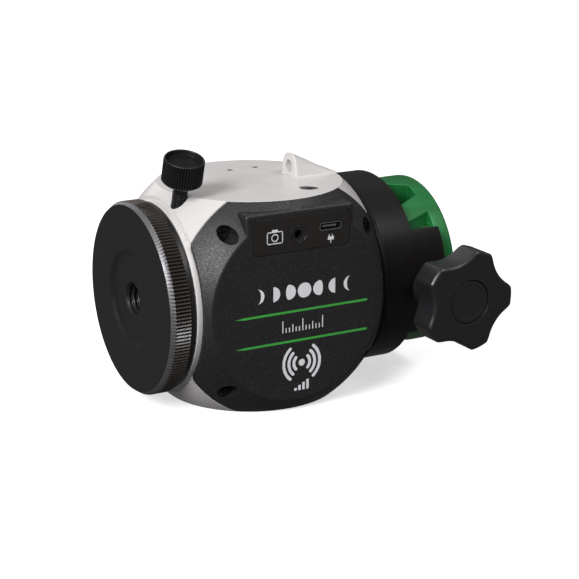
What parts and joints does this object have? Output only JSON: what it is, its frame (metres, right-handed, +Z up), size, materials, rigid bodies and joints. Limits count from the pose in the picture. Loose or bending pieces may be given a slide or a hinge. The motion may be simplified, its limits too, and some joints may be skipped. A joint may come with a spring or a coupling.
{
  "type": "star tracker mount",
  "caption": "Motorised tracking mount: round white housing, turning dovetail platform, puck for a camera head, tripod adapter and clamp knob.",
  "frame": {"origin": "mouth of the tripod thread, on the floor of the adapter's recess", "axes": "+X along the polar axis towards the platform and puck, -Y to the port side, +Z up"},
  "size_m": [0.1113, 0.0855, 0.0807],
  "materials": {
    "white_paint": "satin white enamel",
    "black_shell": "fine textured black moulding",
    "panel_black": "smooth satin black",
    "button_black": "satin",
    "black_anodised": "satin black anodised",
    "knob_black": "satin moulded nylon",
    "green_anodised": "satin green anodised",
    "steel": "machined",
    "black_screw": "blackened",
    "zinc_screw": "zinc plated",
    "nylon": "natural nylon",
    "machined_aluminium": "machined",
    "bronze": "machined bronze",
    "gear_brass": "machined brass",
    "bearing_steel": "polished",
    "motor_case": "plated",
    "circuit_green": "solder mask",
    "chip_black": "moulded",
    "plated_can": "tinned",
    "led_lens": "diffuse red lens",
    "tray_black": "moulded",
    "cell_wrap": "printed sleeve without marks"
  },
  "bodies": {
    "housing": {"main_body": "white_paint", "port_cover": "black_shell", "battery_cover": "black_shell", "port_panel": "panel_black", "port_cover_screws": "black_screw", "battery_cover_screws": "black_screw", "top_screw": "black_screw", "main_board": "circuit_green", "board_chips": "chip_black", "board_screws": "zinc_screw", "wifi_module": "plated_can", "port_board": "circuit_green", "board_nut": "zinc_screw", "snap_jack": "chip_black", "usb_socket": "plated_can", "switch_board": "circuit_green", "power_switch": "chip_black", "status_led": "led_lens", "battery_tray": "tray_black", "battery_contacts": "plated_can", "aa_cells": "cell_wrap", "front_bearing_outer": "bearing_steel", "rear_bearing_outer": "bearing_steel", "bearing_retainer": "steel", "motor": "motor_case", "motor_gearbox": "gear_brass", "worm_bracket": "machined_aluminium", "worm_bushes": "bronze", "bracket_screws": "zinc_screw"},
    "tripod_base": {"tripod_adapter": "black_anodised"},
    "thumb_tip": {"thumb_pad": "nylon"},
    "thumb_turn": {"thumb_screw": "black_anodised", "thumb_collar": "steel"},
    "polar_axis": {"polar_shaft": "machined_aluminium", "shaft_nut": "steel", "worm_wheel": "bronze", "front_bearing_inner": "bearing_steel", "rear_bearing_inner": "bearing_steel", "platform": "black_anodised", "platform_screws": "steel"},
    "front_ball_set": {"front_bearing_cage": "nylon", "front_bearing_balls": "bearing_steel"},
    "rear_ball_set": {"rear_bearing_cage": "nylon", "rear_bearing_balls": "bearing_steel"},
    "worm_shaft": {"worm": "steel", "worm_gear": "gear_brass"},
    "motor_output": {"motor_pinion": "gear_brass"},
    "shoe": {"clamp_shoe": "machined_aluminium", "shoe_pins": "steel"},
    "clamp_knob": {"clamp_screw": "steel", "star_knob": "knob_black", "knob_cap": "knob_black"},
    "puck": {"mount_puck": "green_anodised", "camera_stud": "steel"},
    "button": {"power_button": "button_black"},
    "door": {"battery_door": "black_shell"}
  },
  "joints": [
    {"name": "polar_rotation", "type": "hinge", "parent": "housing", "child": "polar_axis", "pos_m": [0.06, 0, 0], "axis": [1, 0, 0], "continuous": true},
    {"name": "front_balls_orbit", "type": "hinge", "parent": "housing", "child": "front_ball_set", "pos_m": [0.02455, 0, 0], "axis": [1, 0, 0], "continuous": true},
    {"name": "rear_balls_orbit", "type": "hinge", "parent": "housing", "child": "rear_ball_set", "pos_m": [0.067, 0, 0], "axis": [1, 0, 0], "continuous": true},
    {"name": "worm_spin", "type": "hinge", "parent": "housing", "child": "worm_shaft", "pos_m": [0.059, 0, -0.0238], "axis": [0, 1, 0], "continuous": true},
    {"name": "motor_spin", "type": "hinge", "parent": "housing", "child": "motor_output", "pos_m": [0.048, 0, -0.0238], "axis": [0, 1, 0], "continuous": true},
    {"name": "shoe_slide", "type": "slide", "parent": "polar_axis", "child": "shoe", "axis": [0, -1, 0], "range_m": [0, 0.0012]},
    {"name": "clamp_knob_turn", "type": "hinge", "parent": "shoe", "child": "clamp_knob", "pos_m": [0.0879, -0.04, 0], "axis": [0, -1, 0], "range_deg": [0, 432]},
    {"name": "puck_slide", "type": "slide", "parent": "polar_axis", "child": "puck", "axis": [0, 0, 1], "range_m": [-0.055, 0.055]},
    {"name": "thumb_screw_travel", "type": "slide", "parent": "housing", "child": "thumb_tip", "axis": [0, 0.2924, -0.9563], "range_m": [0, 0.0014]},
    {"name": "thumb_screw_turn", "type": "hinge", "parent": "thumb_tip", "child": "thumb_turn", "pos_m": [0.0116, -0.0117, 0.03825], "axis": [0, 0.2924, -0.9563], "range_deg": [0, 630]},
    {"name": "adapter_slide", "type": "slide", "parent": "housing", "child": "tripod_base", "axis": [-1, 0, 0], "range_m": [0, 0.02]},
    {"name": "power_button_press", "type": "slide", "parent": "housing", "child": "button", "axis": [0, -1, 0], "range_m": [0, 0.0006], "stiffness_N_per_m": 600},
    {"name": "battery_door_lift", "type": "slide", "parent": "housing", "child": "door", "axis": [0, 1, 0], "range_m": [0, 0.02]}
  ],
  "couplings": [
    {"joint": "front_balls_orbit", "follows": "polar_rotation", "ratio": 0.41724},
    {"joint": "rear_balls_orbit", "follows": "polar_rotation", "ratio": 0.46716},
    {"joint": "worm_spin", "follows": "polar_rotation", "ratio": -72},
    {"joint": "motor_spin", "follows": "polar_rotation", "ratio": 72},
    {"joint": "clamp_knob_turn", "follows": "shoe_slide", "rad_per_m": 6283.2},
    {"joint": "thumb_screw_turn", "follows": "thumb_screw_travel", "rad_per_m": 7854}
  ]
}
